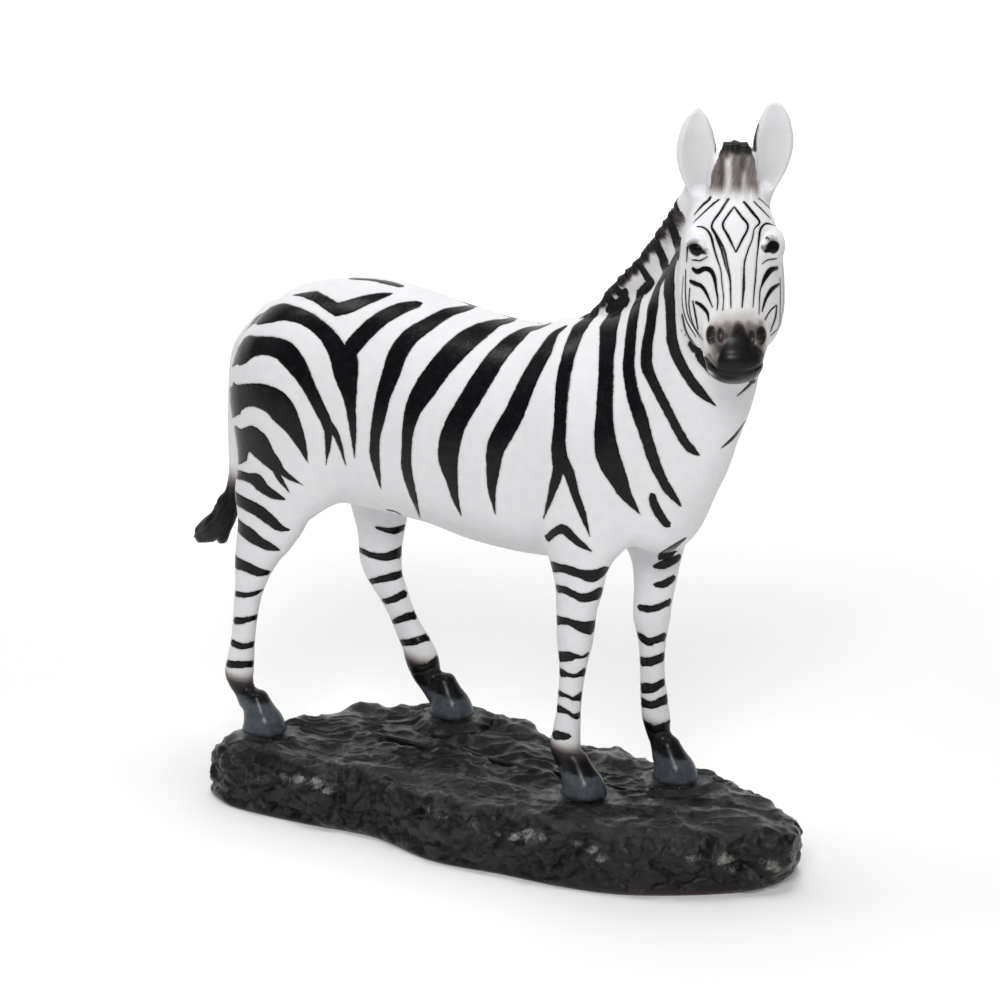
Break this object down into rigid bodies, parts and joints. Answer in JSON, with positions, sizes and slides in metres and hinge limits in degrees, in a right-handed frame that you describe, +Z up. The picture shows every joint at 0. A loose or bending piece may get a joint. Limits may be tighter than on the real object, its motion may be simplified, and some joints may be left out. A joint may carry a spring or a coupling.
{
  "type": "zebra figurine",
  "caption": "Painted cast figurine of a standing striped zebra, head turned to its right, on a rough rock plinth; stands on a shelf by its own weight.",
  "frame": {"origin": "on the plinth's flat underside, below the middle of the trunk, in the animal's mid-plane", "axes": "+X the way the body faces, -Y the animal's right side, which the head turns towards, +Z up from the shelf"},
  "size_m": [0.2398, 0.0897, 0.2607],
  "materials": {
    "painted_white": "satin white paint with black brushed stripes on cast resin",
    "painted_black": "satin black paint on rough cast resin, lightly dry-brushed with grey"
  },
  "bodies": {
    "root": {"zebra": "painted_white", "rock_base": "painted_black"}
  },
  "joints": []
}
